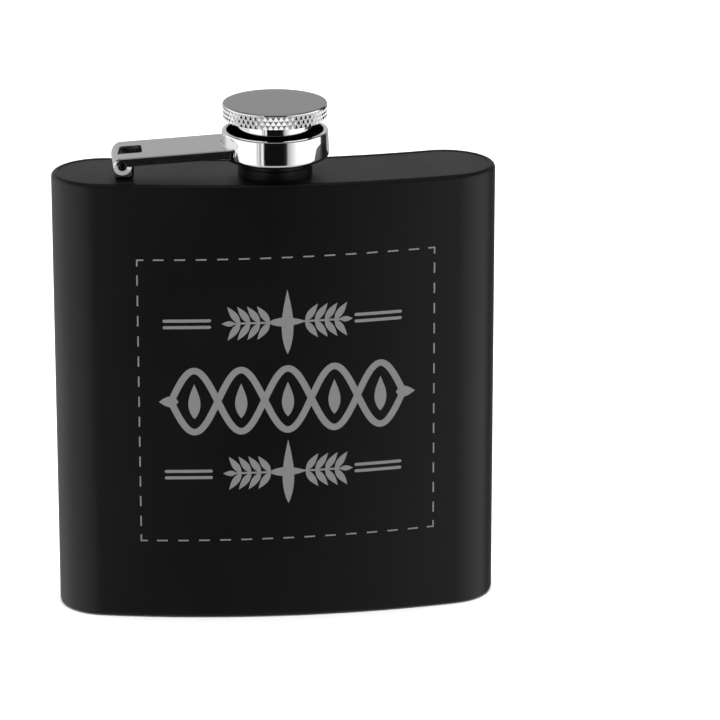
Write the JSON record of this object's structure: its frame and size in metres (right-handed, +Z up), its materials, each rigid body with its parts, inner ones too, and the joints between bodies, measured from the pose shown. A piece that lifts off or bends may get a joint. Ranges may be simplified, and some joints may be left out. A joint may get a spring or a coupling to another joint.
{
  "type": "hip flask",
  "caption": "Slim curved metal hip flask with rounded ends, short threaded neck and a knurled screw cap held captive in a ring on a hinged arm.",
  "frame": {"origin": "middle of the base's underside, on the neck's axis", "axes": "+Z up along the neck, -Y out of the convex front face, -X towards the hinge of the cap arm"},
  "size_m": [0.095, 0.0264, 0.1125],
  "materials": {
    "black_powder_coat": "matte",
    "black_neck": "satin",
    "polished_steel": "gloss",
    "satin_steel": "satin",
    "brushed_head": "satin",
    "white_liner": "matte",
    "clear_gasket": "matte",
    "etched_mark": "matte"
  },
  "bodies": {
    "flask": {"body_wall": "black_powder_coat", "top_plate": "black_powder_coat", "base_plate": "black_powder_coat", "neck": "black_neck", "hinge_lug": "black_powder_coat", "hinge_pin": "polished_steel"},
    "arm": {"cap_arm": "satin_steel", "cap_ring": "polished_steel"},
    "washer": {"slip_washer": "satin_steel"},
    "cap": {"cap_head": "brushed_head", "cap_sleeve": "polished_steel", "cap_liner": "white_liner", "gasket": "clear_gasket"}
  },
  "joints": [
    {"name": "arm_hinge", "type": "hinge", "parent": "flask", "child": "arm", "pos_m": [-0.0327, 0, 0.1011], "axis": [0, -1, 0], "range_deg": [0, 150]},
    {"name": "cap_lift", "type": "slide", "parent": "arm", "child": "washer", "axis": [0, 0, 1], "range_m": [-0.0024, 0]},
    {"name": "cap_turn", "type": "hinge", "parent": "washer", "child": "cap", "pos_m": [0, 0, 0.09715], "axis": [0, 0, 1], "range_deg": [-720, 0]}
  ],
  "couplings": [
    {"joint": "cap_lift", "follows": "cap_turn", "m_per_rad": 0.00019099}
  ]
}
